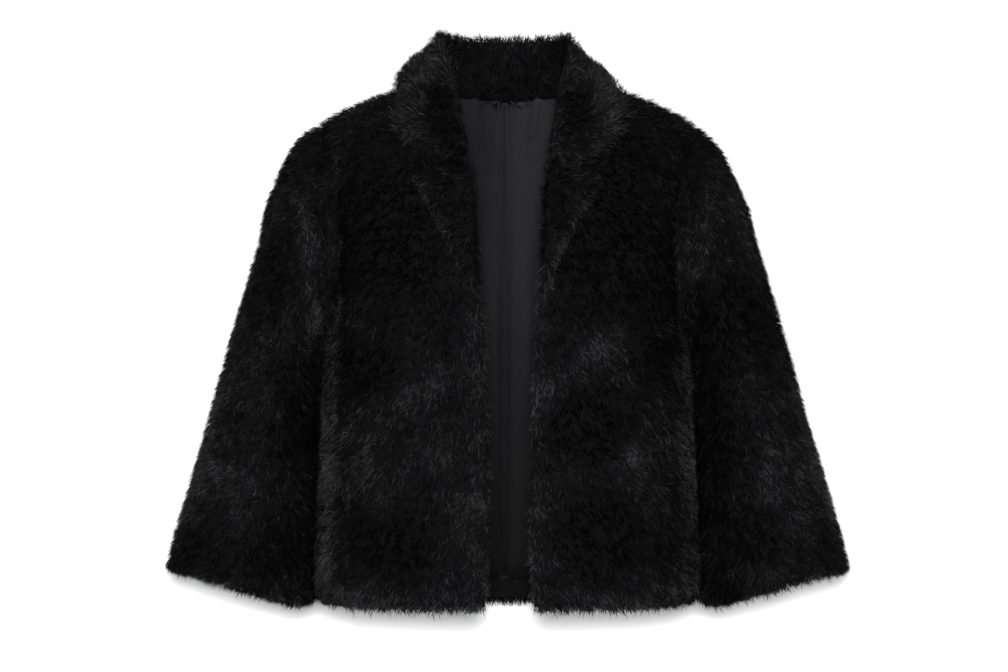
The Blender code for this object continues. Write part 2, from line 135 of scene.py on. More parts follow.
SEAM_REACH = 0.0015  # an edge of the cloth this near another piece is sewn to it
SAME_POINT = 1e-5
RIM_ANGLE = math.radians(60)  # the cloth's two sides meet its cut edges more sharply than this
ROUNDED_RIM_ANGLE = 0.8  # and still more sharply than this once they are rounded
FUR_INSIDE = ("back_hem_facing",)  # the fur of these is on the narrower of their two sides


def cloth_of(node, name, creases=(), relax=0, seams=True):
    """The cloth of a CAD piece: its form, rounded, with its creases. Material 0 is the fur side and its free
    edges, 1 the backing and the seams. relax smooths it between its edges before it is creased."""
    shape = bmesh.new()
    shape.from_mesh(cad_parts[node].data)
    bmesh.ops.remove_doubles(shape, verts=shape.verts, dist=SAME_POINT)
    shape.normal_update()
    crease = shape.edges.layers.float.new("crease_edge")
    for edge in shape.edges:
        if edge.calc_face_angle(0.0) > RIM_ANGLE:
            edge[crease] = 1.0
    sides = sides_of(shape, crease)
    fur_side = sides[1] if node in FUR_INSIDE else sides[0]
    sewn = sewn_points(shape, node)
    for number, side in enumerate(sides):
        for face in side:
            free = number > 1 and not (seams and all(v in sewn for v in face.verts))
            face.material_index = 0 if side is fur_side or free else 1
            face.smooth = True
    mesh = bpy.data.meshes.new(name)
    shape.to_mesh(mesh)
    shape.free()
    mesh.materials.append(underfur_finish)
    mesh.materials.append(backing_finish)
    cloth = bpy.data.objects.new(name, mesh)
    bpy.context.scene.collection.objects.link(cloth)
    cloth.modifiers.new("rounded", "SUBSURF").levels = 2 if relax else 1
    bpy.context.view_layer.update()
    graph = bpy.context.evaluated_depsgraph_get()
    rounded = bpy.data.meshes.new_from_object(cloth.evaluated_get(graph))
    cloth.modifiers.clear()
    cloth.data = rounded
    bpy.data.meshes.remove(mesh)
    rounded.name = name
    if relax:
        smooth_between_rims(rounded, relax)
    press_creases(rounded, creases)
    return cloth


def sides_of(shape, crease):
    """A cloth's faces in groups, parted by its creased edges, the widest group first. The first two groups
    are its two sides, and the rest are its rims."""
    sides = []
    left = set(shape.faces)
    while left:
        face = left.pop()
        side = [face]
        queue = [face]
        while queue:
            for edge in queue.pop().edges:
                if edge[crease] < 1.0:
                    for near in edge.link_faces:
                        if near in left:
                            left.remove(near)
                            side.append(near)
                            queue.append(near)
        sides.append(side)
    sides.sort(key=lambda side: -sum(face.calc_area() for face in side))
    return sides


def sewn_points(shape, node):
    """The points of a cloth that lie along another piece."""
    others = []
    for other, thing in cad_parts.items():
        if other != node:
            points = [v.co for v in thing.data.vertices]
            others.append(BVHTree.FromPolygons(points, [p.vertices for p in thing.data.polygons]))
    sewn = set()
    for v in shape.verts:
        if any(other.find_nearest(v.co, SEAM_REACH)[0] is not None for other in others):
            sewn.add(v)
    return sewn


def smooth_between_rims(mesh, rounds):
    """Moves each point that isn't on a rim half way to the middle of its neighbours, this many times."""
    shape = bmesh.new()
    shape.from_mesh(mesh)
    free = []
    for v in shape.verts:
        free.append(all(edge.calc_face_angle(0.0) < ROUNDED_RIM_ANGLE for edge in v.link_edges))
    free = np.array(free)
    ends = np.array([[v.index for v in edge.verts] for edge in shape.edges])
    shape.free()
    points = mesh_points(mesh)
    near = np.bincount(ends.ravel(), minlength=len(points))
    for _ in range(rounds):
        total = np.zeros_like(points)
        for axis in range(3):
            total[:, axis] += np.bincount(ends[:, 0], points[ends[:, 1], axis], len(points))
            total[:, axis] += np.bincount(ends[:, 1], points[ends[:, 0], axis], len(points))
        points[free] += (total[free] / near[free, None] - points[free]) / 2
    mesh.vertices.foreach_set("co", points.ravel())
    mesh.update()


def mesh_points(mesh):
    points = np.empty(len(mesh.vertices) * 3)
    mesh.vertices.foreach_get("co", points)
    return points.reshape(-1, 3)


def unit(vectors):
    shortest = 1e-12
    return vectors / np.maximum(np.linalg.norm(vectors, axis=-1, keepdims=True), shortest)


def rising(values, start, full):
    """0 up to the start, 1 from full on, and a straight rise between them."""
    return np.clip((values - start) / (full - start), 0, 1)


MM = 1000  # millimetres in a metre: the rows of strokes and creases are in millimetres
SIDE_SEAM_FADE = 0.015  # the front's strokes give way to the back's within this distance of the side seams


def strokes(points, rows):
    """The sum of soft strokes at each point. A row has the side that it is on, where it starts and where it
    ends in the front view, its width and its strength."""
    total = np.zeros(len(points))
    forward = rising(-points[:, 1], -SIDE_SEAM_FADE, SIDE_SEAM_FADE)
    share = {"front": forward, "back": 1 - forward, "round": 1.0}
    for side, x, z, to_x, to_z, width, strength in rows:
        run = np.array([to_x - x, to_z - z]) / MM
        flat = points[:, [0, 2]] - np.array([x, z]) / MM
        along = np.clip(flat @ run / (run @ run), 0, 1)
        off = np.linalg.norm(flat - along[:, None] * run, axis=1) / (width / MM)
        total += strength * share[side] * np.exp(-off * off)
    return total


def press_creases(mesh, creases):
    """Soft troughs in a cloth, and ridges where the strength is below zero, in millimetres. A row that ends
    in a direction moves the cloth that way instead."""
    if not creases:
        return
    points = mesh_points(mesh)
    normals = np.empty(len(points) * 3)
    mesh.vertices.foreach_get("normal", normals)
    normals = normals.reshape(-1, 3)
    outward = np.sign((normals * (points - middle_line(points))).sum(axis=1))
    troughs = [row for row in creases if len(row) == 7]
    moves = [row for row in creases if len(row) == 8]
    depth = strokes(points, troughs) * outward
    moved = points - normals * depth[:, None] / MM
    for *row, way in moves:
        moved += strokes(points, [row])[:, None] * np.array(way) / MM
    mesh.vertices.foreach_set("co", moved.ravel())
    mesh.update()


ARMHOLE_OUT = 0.185  # the cloth further out than this goes round an arm
ARM_OUT, ARM_UP = 0.19, -0.04  # where an arm's middle line starts
ARM_SPLAY = 0.14  # how far it goes out on its way down, as a share of that way


def middle_line(points):
    """The middle line that each point's cloth goes round: the body's, or its sleeve's."""
    arm = np.sign(points[:, 0]) * (ARM_OUT - ARM_SPLAY * (points[:, 2] - ARM_UP))
    x = np.where(np.abs(points[:, 0]) < ARMHOLE_OUT, 0.0, arm)
    return np.stack([x, np.zeros(len(x)), points[:, 2]], axis=1)


FACING_DOWN = -0.4  # a cloth whose normal points down more than this is the edge of a hem
HEM_CROWDING = 3.5  # the tufts there are this many times closer


def sampled(mesh, count, random):
    """Points spread over the fur side, closer together at the edge of a hem, with their normals, and the
    whole area of that side."""
    mesh.calc_loop_triangles()
    triangles = np.empty(len(mesh.loop_triangles) * 3, np.int64)
    mesh.loop_triangles.foreach_get("vertices", triangles)
    material = np.empty(len(mesh.loop_triangles), np.int64)
    mesh.loop_triangles.foreach_get("material_index", material)
    triangles = triangles.reshape(-1, 3)[material == 0]
    points = mesh_points(mesh)
    corners = points[triangles]
    square = np.cross(corners[:, 1] - corners[:, 0], corners[:, 2] - corners[:, 0])
    area = np.linalg.norm(square, axis=1) / 2
    crowded = area * np.where(square[:, 2] < FACING_DOWN * 2 * area, HEM_CROWDING, 1.0)
    normals = np.zeros_like(points)
    for corner in range(3):
        np.add.at(normals, triangles[:, corner], square)
    normals = unit(normals)
    reached = np.cumsum(crowded) / crowded.sum()
    chosen = np.searchsorted(reached, (np.arange(count) + random.random(count)) / count)
    chosen = np.minimum(chosen, len(area) - 1)
    u = random.random(count)
    v = random.random(count)
    over = u + v > 1
    u[over] = 1 - u[over]
    v[over] = 1 - v[over]
    weights = np.stack([1 - u - v, u, v], axis=1)[:, :, None]
    at = (points[triangles[chosen]] * weights).sum(axis=1)
    out = (normals[triangles[chosen]] * weights).sum(axis=1)
    return at, unit(out), area.sum()


SEED_STEP = (7.3, 3.1, 5.7)  # how far a seed moves the noise


def waves(points, size, seed):
    """Smooth noise from -1 to 1 whose lumps are about this size."""
    shift = Vector([seed * step for step in SEED_STEP])
    return np.array([noise.noise(Vector(p) / size + shift) for p in points])


STRANDS_IN_TUFT = 6
STRAND_HALF_WIDTH = 0.00028  # wider than a real fibre, because there are fewer strands
STRAND_MAP_HALF_WIDTH = 0.006  # so that a strand isn't a bare line on the map
ROOT_DEPTH = 0.0024  # how far below the cloth's face a strand starts
TUFT_SPREAD = 0.55  # of the distance between tufts
HIGHEST = 0.0086  # how far the pile stands off its cloth at the most
LOWEST_TIP, TOP_TIP = -0.5145, 0.0740  # no strand goes below or above these
PATCHES = [(0.045, 1.0, 0.0), (0.018, 0.8, 0.5), (0.009, 0.4, 0.7)]  # size, strength and seed of the noise
SWIRL_SIZE, SWIRL_SEED = 0.032, 0.3
SWIRL_TURN = 0.45  # radians that a swirl turns the nap
PATCH_LIFT, PATCH_LENGTH, PATCH_TONE = 0.12, 0.08, 0.21  # how a patch differs from the next
TUFT_TURN, TUFT_LIFT, TUFT_LENGTH, TUFT_TONE = 0.42, 0.16, 0.10, 0.08  # and a tuft in it
STRAND_LEAN, STRAND_LENGTH, STRAND_ROLL, STRAND_TONE = 0.32, 0.20, 0.8, 0.16  # and a strand in that
GATHER = (0.05, 0.60)  # how far a strand's tip is drawn to its tuft's tip
BEND, BEND_SPREAD = 0.12, 0.06  # how far a strand bows out, of its length
BEND_AT = (0.35, 0.6)  # where it does, of its length
FINENESS = (0.65, 1.45)  # the finest and the thickest strand
PALENESS = (0.02, 0.97)  # the darkest and the palest


def make_pile(name, cloth, count, seed, groom):
    """Tufts of bent strands on a cloth's fur side. groom gives the way that they lie, their length, their
    lift off the cloth and how pale they are."""
    random = np.random.default_rng(seed)
    tufts = count // STRANDS_IN_TUFT
    at, out, area = sampled(cloth.data, tufts, random)
    patch = sum(strength * waves(at, size, seed + shift) for size, strength, shift in PATCHES)
    swirl = waves(at, SWIRL_SIZE, seed + SWIRL_SEED)
    nap, reach, lift, pale = groom(at, out)
    nap = unit(nap - out * (nap * out).sum(axis=1, keepdims=True))
    across = np.cross(out, nap)
    turn = (SWIRL_TURN * swirl + random.normal(0, TUFT_TURN, tufts))[:, None]
    nap, across = nap * np.cos(turn) + across * np.sin(turn), across * np.cos(turn) - nap * np.sin(turn)
    lift = lift + PATCH_LIFT * patch + random.normal(0, TUFT_LIFT, tufts)
    reach = reach * (1 + PATCH_LENGTH * patch + random.normal(0, TUFT_LENGTH, tufts))
    tip = at + reach[:, None] * (nap * np.cos(lift)[:, None] + out * np.sin(lift)[:, None])
    pale = pale + PATCH_TONE * patch + random.normal(0, TUFT_TONE, tufts)

    # From here on a row is a strand. Its root is near its tuft's middle, and its tip is drawn to its tuft's.
    total = tufts * STRANDS_IN_TUFT
    at, out, nap, across, tip = (np.repeat(v, STRANDS_IN_TUFT, axis=0) for v in (at, out, nap, across, tip))
    reach, lift, pale = (np.repeat(v, STRANDS_IN_TUFT) for v in (reach, lift, pale))
    spread = math.sqrt(area / tufts) * TUFT_SPREAD
    side, ahead = random.normal(0, spread, (2, total, 1))
    root = at + nap * ahead + across * side - out * ROOT_DEPTH
    own = nap * np.cos(lift)[:, None] + out * np.sin(lift)[:, None]
    own = unit(own + random.normal(0, STRAND_LEAN, (total, 3)))
    gather = random.uniform(*GATHER, (total, 1))
    run = own * reach[:, None] * (1 - gather) + (tip - root) * gather
    end = root + run * random.normal(1.0, STRAND_LENGTH, (total, 1))
    bend = (BEND + BEND_SPREAD * random.normal(0, 1, (total, 1))) * reach[:, None]
    middle = root + (end - root) * random.uniform(*BEND_AT, (total, 1)) + out * bend
    for point in (middle, end):
        height = ((point - at) * out).sum(axis=1, keepdims=True)
        point += out * (HIGHEST * np.tanh(height / HIGHEST) - height)
        point[:, 2] = np.clip(point[:, 2], LOWEST_TIP, TOP_TIP)
    along = unit(end - root)
    flat = unit(np.cross(along, out))
    roll = random.normal(0, STRAND_ROLL, (total, 1))
    flat = unit(flat * np.cos(roll) + np.cross(along, flat) * np.sin(roll))
    half = STRAND_HALF_WIDTH * random.uniform(*FINENESS, (total, 1))
    points = np.stack([root, middle + flat * half, middle - flat * half, end], axis=1)
    pale = np.clip(pale + random.normal(0, STRAND_TONE, total), *PALENESS)
    pile = bpy.data.objects.new(name, strand_mesh(name, points, pale))
    bpy.context.scene.collection.objects.link(pile)
    return pile


def strand_mesh(name, points, pale):
    """Strands of two triangles, widest where they bend. A row of points has a strand's root, its two edges at
    the bend, and its tip."""
    total = len(points)
    corners = (np.arange(total)[:, None] * 4 + [0, 1, 2, 2, 1, 3]).ravel()
    mesh = bpy.data.meshes.new(name)
    mesh.vertices.add(total * 4)
    mesh.vertices.foreach_set("co", points.ravel())
    mesh.loops.add(total * 6)
    mesh.loops.foreach_set("vertex_index", corners)
    mesh.polygons.add(total * 2)
    mesh.polygons.foreach_set("loop_start", np.arange(total * 2) * 3)
    mesh.polygons.foreach_set("use_smooth", np.ones(total * 2, bool))
    mesh.update(calc_edges=True)
    paler = pale + STRAND_MAP_HALF_WIDTH
    darker = pale - STRAND_MAP_HALF_WIDTH
    u = np.stack([pale, paler, darker, darker, paler, pale], axis=1)
    v = np.tile([0.0, 0.5, 0.5, 0.5, 0.5, 1.0], (total, 1))
    laid = mesh.uv_layers.new(name=STRAND_MAP)
    laid.uv.foreach_set("vector", np.stack([u, v], axis=2).ravel())
    mesh.materials.append(strands_finish)
    return mesh


def make_fur_piece(node, strands, seed, groom, creases=(), seams=True):
    """A piece's cloth and its pile, riding on the jacket in place of the CAD piece."""
    cloth = cloth_of(node, node + "_cloth", creases, seams=seams)
    pile = make_pile(node + "_pile", cloth, strands, seed, groom)
    for piece in (cloth, pile):
        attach(piece, "root")
    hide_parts(node)


HEM_UP = -0.500
BACK_HEM_DROP, BACK_HEM_BEHIND = 0.004, 0.05  # the hem is this much lower, this far behind the side seams
NOTCH_OUT, NOTCH_WIDTH, NOTCH_RISE = 0.188, 0.013, 0.009  # where the hem and the cuff turn up side by side
OVERHANG = 0.008  # how far the pile hangs past a hem
SLANT = 1.15  # a strand is longer than the height that it covers
SHORTEST = 0.0035
PILE_LENGTH = 0.0098
PILE_LIFT = 0.62  # radians that the pile stands off its cloth
BY_ARM_FROM, BY_ARM_FULL, ARMHOLE_FOOT = 0.165, 0.177, -0.2  # where the body's cloth lies by an arm
BY_ARM_LENGTH, BY_ARM_LIFT = 0.005, 0.32  # the pile is longer there, and stands up more
BACK_NAP_LEAN = 1.2  # how fast the nap turns outward away from the middle of the back
BACK_TONE = 0.38
# painted shade and painted sheen in the pile's colour: darker and paler patches, and pale bands down both
# sides
BACK_PAINTED_SHEEN_AND_SHADE = [
    ("back", -95, -120, -60, -150, 45, -0.30), ("back", 80, -95, 120, -135, 40, -0.32),
    ("back", -130, -250, -70, -215, 16, 0.20), ("back", 35, -230, 105, -265, 17, 0.22),
    ("back", -60, -330, -95, -345, 30, -0.28), ("back", 60, -350, 30, -330, 34, -0.26),
    ("back", 125, -430, 75, -445, 24, -0.28), ("back", -120, -440, -90, -420, 26, -0.24),
    ("back", -20, -430, 5, -380, 18, 0.18), ("back", -176, -120, -180, -480, 10, 0.22),
    ("back", 176, -120, 180, -480, 10, 0.22),
]
FULLNESS = [  # the cloth swells by the arms and over the shoulders, and turns up at the notches
    ("round", -183, -240, -185, -500, 10, -4.5), ("round", 183, -240, 185, -500, 10, -4.5),
    ("round", -105, -5, -190, -42, 16, -4.0), ("round", 105, -5, 190, -42, 16, -4.0),
    ("round", -187, -510, -187, -505, 16, 9.0, (0.2, 0, 1)),
    ("round", 187, -510, 187, -505, 16, 9.0, (-0.2, 0, 1)),
]


def notch(points):
    """1 at the notch between the hem and the cuff, and 0 away from it."""
    return np.exp(-(((np.abs(points[:, 0]) - NOTCH_OUT) / NOTCH_WIDTH) ** 2))


def above_hem(points):
    drop = BACK_HEM_DROP * rising(points[:, 1], 0.0, BACK_HEM_BEHIND)
    return points[:, 2] - HEM_UP + drop - NOTCH_RISE * notch(points)


def by_arm(points):
    return rising(np.abs(points[:, 0]), BY_ARM_FROM, BY_ARM_FULL) * (points[:, 2] < ARMHOLE_FOOT)


def trimmed(reach, height):
    """Strands that start near a hem are shorter, so that the pile ends in a line a little below it."""
    room = (np.maximum(height, 0) + OVERHANG) * SLANT
    return np.clip(np.minimum(reach, room), SHORTEST, None)


def downward(outward):
    """A nap that lies down the cloth, and outward by this much for each metre down."""
    return np.stack([outward, np.zeros(len(outward)), -np.ones(len(outward))], axis=1)


def groom_back(points, normals):
    reach = trimmed(PILE_LENGTH + BY_ARM_LENGTH * by_arm(points), above_hem(points))
    lift = PILE_LIFT + BY_ARM_LIFT * by_arm(points)
    return downward(BACK_NAP_LEAN * points[:, 0]), reach, lift, BACK_TONE + strokes(points, BACK_PAINTED_SHEEN_AND_SHADE)


make_fur_piece("back", strands=86000, seed=11,
               groom=groom_back, creases=FULLNESS)

# Fronts: two panels of the same fur, open from neck to hem with no fastening. The pile is shorter over the
# front edges. Its colour has painted shade and painted sheen in darker and paler patches: darker over the
# chest, paler along the front edges, down the sides and over the hem.
OPENING_HALF_WIDTH = 0.09  # the front edges lie within this distance of the jacket's middle
EDGE_TURN = (0.125, 0.75)  # how far the cloth turns to the opening where its edge starts and is full
EDGE_SHORTER, EDGE_LOWER, EDGE_LEAN = 0.0012, 0.18, 0.3  # what changes in the pile over the edge
FRONT_NAP_LEAN = 0.10
FRONT_TONE = {"front_left": 0.375, "front_right": 0.350}
FRONT_PAINTED_LIGHT_STRENGTH = 1.25  # how strongly the strokes tell
# painted shade and painted sheen in the pile's colour: dark patches over the chest and below it, pale bands
# down the sides, along the front edges and over the hem
FRONT_PAINTED_SHEEN_AND_SHADE = {
    "front_left": [
        ("front", -118, -110, -130, -165, 42, -0.46), ("front", -142, -265, -132, -268, 21, -0.50),
        ("front", -140, -200, -112, -185, 18, 0.20), ("front", -98, -300, -70, -275, 18, 0.18),
        ("front", -125, -440, -90, -442, 22, -0.40), ("front", -150, -330, -120, -400, 18, 0.12),
        ("front", -171, -90, -173, -480, 11, 0.24), ("front", -33, -190, -22, -490, 11, 0.22),
        ("front", -160, -488, -30, -494, 14, 0.18), ("front", -96, -165, -88, -170, 18, -0.30),
        ("front", -60, -330, -50, -430, 22, 0.12), ("front", -55, -45, -60, -95, 16, -0.20),
    ],
    "front_right": [
        ("front", 92, -90, 98, -150, 46, -0.52), ("front", 150, -165, 138, -200, 28, -0.28),
        ("front", 42, -285, 136, -200, 15, 0.22), ("front", 73, -318, 84, -330, 27, -0.46),
        ("front", 98, -428, 88, -428, 30, -0.54), ("front", 152, -245, 146, -252, 15, -0.34),
        ("front", 175, -90, 177, -480, 11, 0.20), ("front", 30, -190, 24, -490, 11, 0.22),
        ("front", 165, -488, 30, -494, 14, 0.18), ("front", 52, -372, 118, -352, 14, 0.16),
        ("front", 140, -340, 128, -372, 18, 0.10), ("front", 60, -45, 62, -95, 16, -0.25),
    ],
}
FRONT_CREASES = {
    "front_left": [("front", -163, -72, -171, -240, 8, 4.5)] + FULLNESS,
    "front_right": [("front", 166, -72, 174, -240, 8, 4.0)] + FULLNESS,
}


def groom_front(node):
    def groom(points, normals):
        side = np.sign(points[:, 0])
        out = np.abs(points[:, 0])
        edge = rising(-normals[:, 0] * side, *EDGE_TURN) * (out < OPENING_HALF_WIDTH)
        nap = downward(side * (FRONT_NAP_LEAN + out + EDGE_LEAN * edge))
        longer = BY_ARM_LENGTH * by_arm(points) - EDGE_SHORTER * edge
        reach = trimmed(PILE_LENGTH + longer, above_hem(points))
        lift = PILE_LIFT + BY_ARM_LIFT * by_arm(points) - EDGE_LOWER * edge
        pale = FRONT_TONE[node] + FRONT_PAINTED_LIGHT_STRENGTH * strokes(points, FRONT_PAINTED_SHEEN_AND_SHADE[node])
        return nap, reach, lift, pale
    return groom


for node, seed in (("front_left", 21), ("front_right", 22)):
    make_fur_piece(node, strands=57000, seed=seed,
                   groom=groom_front(node), creases=FRONT_CREASES[node])

# Sleeves: tubes of the same fur, set in at the armholes and flared to wide cuffs. The pile follows the arm,
# and is longer where the sleeve hangs against the body. A soft ridge runs down from each armhole.
CUFF_UP, CUFF_INNER_OUT = -0.503, 0.196  # the inner end of a cuff
CUFF_SLOPE = 0.296  # the cuff rises outward by this share of its width
SLEEVE_NAP_LEAN = 0.34
SLEEVE_PILE_LENGTH = 0.0100
SLEEVE_INNER_FROM = -0.24  # the sleeve hangs against the body below this
SLEEVE_TONE = 0.40
SLEEVE_PAINTED_LIGHT_STRENGTH = 1.2  # how strongly the strokes tell
# painted shade and painted sheen in the pile's colour: a thin dark line and a darker strip where each sleeve
# hangs against the body, a painted highlight down the ridge from the armhole, and darker and paler patches
# elsewhere
SLEEVE_PAINTED_SHEEN_AND_SHADE = {
    "sleeve_left": [
        ("front", -199, -100, -190, -225, 6, 0.30), ("front", -192, -330, -192, -490, 5, -0.26),
        ("front", -200, -260, -204, -490, 14, -0.06), ("front", -214, -260, -212, -350, 17, -0.16),
        ("front", -262, -345, -275, -370, 28, 0.14), ("front", -232, -150, -240, -190, 26, -0.22),
        ("front", -300, -440, -318, -450, 18, -0.18), ("front", -232, -430, -240, -455, 22, -0.22),
        ("front", -288, -300, -322, -410, 10, 0.14), ("back", -240, -200, -260, -260, 26, -0.20),
        ("back", -250, -400, -285, -420, 24, 0.18),
    ],
    "sleeve_right": [
        ("front", 199, -70, 190, -170, 7, 0.18), ("front", 193, -320, 193, -490, 5, -0.26),
        ("front", 200, -260, 204, -490, 14, -0.08), ("front", 208, -200, 213, -360, 20, -0.20),
        ("front", 234, -205, 240, -225, 34, -0.28), ("front", 282, -385, 290, -400, 28, 0.14),
        ("front", 318, -440, 326, -450, 16, -0.18), ("front", 248, -440, 240, -420, 22, -0.18),
        ("front", 285, -290, 322, -410, 10, 0.14), ("back", 232, -260, 250, -330, 28, -0.22),
        ("back", 270, -400, 300, -440, 22, 0.16),
    ],
}
SLEEVE_CREASES = {
    "sleeve_left": [
        ("front", -176, -75, -183, -250, 7, 4.5), ("front", -205, -95, -196, -225, 10, -2.0),
        ("round", -193, -240, -195, -505, 11, -4.5), ("round", -196, -42, -236, -110, 18, -4.5),
        ("round", -236, -110, -335, -462, 20, -2.0),
        ("round", -192, -512, -190, -508, 15, 9.0, (-0.3, 0, 1)),
    ],
    "sleeve_right": [
        ("front", 178, -75, 185, -250, 7, 4.0), ("front", 205, -65, 197, -190, 10, -2.0),
        ("round", 193, -240, 195, -505, 11, -4.5), ("round", 196, -42, 232, -105, 18, -2.5),
        ("round", 236, -110, 335, -462, 20, -4.0),
        ("round", 192, -512, 190, -508, 15, 9.0, (0.3, 0, 1)),
    ],
}


def above_cuff(points):
    cuff = CUFF_UP + (np.abs(points[:, 0]) - CUFF_INNER_OUT) * CUFF_SLOPE
    return points[:, 2] - cuff - NOTCH_RISE * notch(points)


def groom_sleeve(node):
    def groom(points, normals):
        side = np.sign(points[:, 0])
        by_body = rising(-normals[:, 0] * side, 0.0, 1.0) * (points[:, 2] < SLEEVE_INNER_FROM)
        reach = trimmed(SLEEVE_PILE_LENGTH + BY_ARM_LENGTH * by_body, above_cuff(points))
        lift = PILE_LIFT + BY_ARM_LIFT * by_body
        pale = SLEEVE_TONE + SLEEVE_PAINTED_LIGHT_STRENGTH * strokes(points, SLEEVE_PAINTED_SHEEN_AND_SHADE[node])
        return downward(SLEEVE_NAP_LEAN * side), reach, lift, pale
    return groom


for node, seed in (("sleeve_left", 31), ("sleeve_right", 32)):
    make_fur_piece(node, strands=94000, seed=seed,
                   groom=groom_sleeve(node), creases=SLEEVE_CREASES[node])

# Collar: one piece that stands up round the neck, rolls over and falls on the shoulders, with fur on both of
# its sides. Inside it lies flat and short, on the roll it stands up, and on the fall it fluffs out.
NECK_MIDDLE = (0, -0.01, 0)
UP = np.array([0.0, 0.0, 1.0])
# the paleness of each part is painted shade and sheen: darker inside the collar, paler on the roll and the
# fall
COLLAR_INSIDE = np.array([0.0095, 0.55, 0.34])  # the length, the lift and the paleness of the pile there
COLLAR_ROLL = np.array([0.0120, 0.72, 0.50])
COLLAR_FALL = np.array([0.0115, 0.90, 0.56])
INSIDE_TURN = (0.0, 0.4)  # how far the cloth turns to the neck on the inside
ROLL_TURN = (0.3, 0.8)  # and how far up on the roll, or down on the fall's underside
END_TURN = (0.0, 0.5)  # and to the opening at the collar's ends
ROLL_NAP_LEAN = 0.3
FALL_NAP_LEAN, FALL_NAP_DROP = 0.9, 0.7
NECK_SEAM_DOWN = (0.028, 0.040)  # the pile of the inside covers the neck seam from here down
NECK_SEAM_LIFT = 0.4
NECK_SEAM_NAP = (0.0, -1.0, -0.4)
UNDERSIDE_NAP = (0.0, -1.0, -0.5)
COLLAR_END_FADE = 0.02  # the ends are in the front half of the collar
COLLAR_END_NAP, COLLAR_END_SHORTER, COLLAR_END_LOWER = 1.5, 0.3, 0.5  # the pile lies back from them
# painted shade in the collar's lower inner parts by the opening, and painted sheen in pale lines along its
# edges
COLLAR_PAINTED_SHEEN_AND_SHADE = [
    ("front", -62, -5, -50, -42, 14, -0.45), ("front", 66, -2, 60, -40, 12, -0.40),
    ("front", -118, -25, -95, -58, 8, 0.22), ("front", 112, -20, 85, -52, 8, 0.22),
    ("front", -50, 25, -36, -40, 6, 0.20), ("front", 48, 25, 38, -40, 6, 0.20),
]
COLLAR_CREASES = [
    ("round", -43, 50, -27, -55, 22, 11.5, (-1, 0, 0)), ("round", 45, 50, 32, -55, 20, 9.0, (1, 0, 0)),
    ("round", -76, 50, -98, 28, 20, 10.0, (-0.7, 0, 0.75)), ("round", -50, 57, 50, 57, 14, 6.5, (0, 0, 1)),
]


def turned(nap, share, way):
    """A nap turned this share of the way to another."""
    return nap * (1 - share)[:, None] + share[:, None] * np.array(way)


def groom_collar(points, normals):
    side = np.sign(points[:, 0])
    radial = unit((points - np.array(NECK_MIDDLE)) * [1, 1, 0])
    inside = rising(-(normals * radial).sum(axis=1), *INSIDE_TURN)
    roll = rising(normals[:, 2], *ROLL_TURN) * (1 - inside)
    fall = 1 - inside - roll
    underside = rising(-normals[:, 2], *ROLL_TURN) * (1 - inside)
    at_seam = rising(-points[:, 2], *NECK_SEAM_DOWN) * inside
    front_half = rising(-points[:, 1], -COLLAR_END_FADE, COLLAR_END_FADE)
    at_opening = rising(-normals[:, 0] * side, *END_TURN) * front_half
    nap = inside[:, None] * UP + roll[:, None] * (UP + ROLL_NAP_LEAN * radial)
    nap += fall[:, None] * (FALL_NAP_LEAN * radial - FALL_NAP_DROP * UP)
    nap = turned(nap, at_seam, NECK_SEAM_NAP)
    nap[:, 0] += COLLAR_END_NAP * side * at_opening
    nap = turned(nap, underside, UNDERSIDE_NAP)
    parts = inside[:, None] * COLLAR_INSIDE + roll[:, None] * COLLAR_ROLL + fall[:, None] * COLLAR_FALL
    reach, lift, pale = parts.T
    reach = reach * (1 - COLLAR_END_SHORTER * at_opening)
    lift = (lift + NECK_SEAM_LIFT * at_seam) * (1 - COLLAR_END_LOWER * at_opening * (1 - underside))
    return nap, reach, lift, pale + strokes(points, COLLAR_PAINTED_SHEEN_AND_SHADE)


make_fur_piece("collar", strands=44000, seed=41,
               groom=groom_collar, creases=COLLAR_CREASES, seams=False)

# Lapels: the tops of the front facings, turned out along the roll line and laid on the fronts. Their pile
# runs out and down from the opening, and up over the notch below the collar.
LAPEL_PILE_LENGTH = 0.0112
LAPEL_NAP = (0.5, 0.0, -1.0)
LAPEL_TOP_UP = (-0.098, -0.083)  # the top of the lapel, at the collar's notch
LAPEL_TOP_NAP = (0.9, 0.0, 0.1)
LAPEL_TOP_LENGTH, LAPEL_TOP_LIFT = 0.0035, 0.35  # the pile is longer there, and stands up more
LAPEL_TONE = 0.38
# a painted highlight along each lapel's edge, and painted shade on the lapel below the notch
LAPEL_PAINTED_HIGHLIGHT_AND_SHADE = [
    ("front", -90, -78, -33, -188, 6, 0.18), ("front", 88, -78, 33, -188, 6, 0.18),
    ("front", -52, -90, -46, -120, 12, -0.20), ("front", 54, -90, 48, -120, 12, -0.20),
]


def groom_lapel(points, normals):
    side = np.sign(points[:, 0])
    at_top = rising(points[:, 2], *LAPEL_TOP_UP)
    nap = turned(np.tile(LAPEL_NAP, (len(points), 1)), at_top, LAPEL_TOP_NAP)
    nap[:, 0] *= side
    reach = LAPEL_PILE_LENGTH + LAPEL_TOP_LENGTH * at_top
    lift = PILE_LIFT + LAPEL_TOP_LIFT * at_top
    return nap, reach, lift, LAPEL_TONE + strokes(points, LAPEL_PAINTED_HIGHLIGHT_AND_SHADE)


for node in ("lapel_left", "lapel_right"):
    make_fur_piece(node, strands=3200, seed=51,
                   groom=groom_lapel, seams=False)

# Hem turn-up: the back's own fur, folded up inside at the hem and caught down there. Its pile is sheared
# short, so that the hem isn't bulky, and it all lies down toward the fold.
TURN_UP_PILE = (0.007, 0.45, 0.40)  # length, lift and paleness


def groom_turn_up(points, normals):
    return (downward(np.zeros(len(points))), *TURN_UP_PILE)


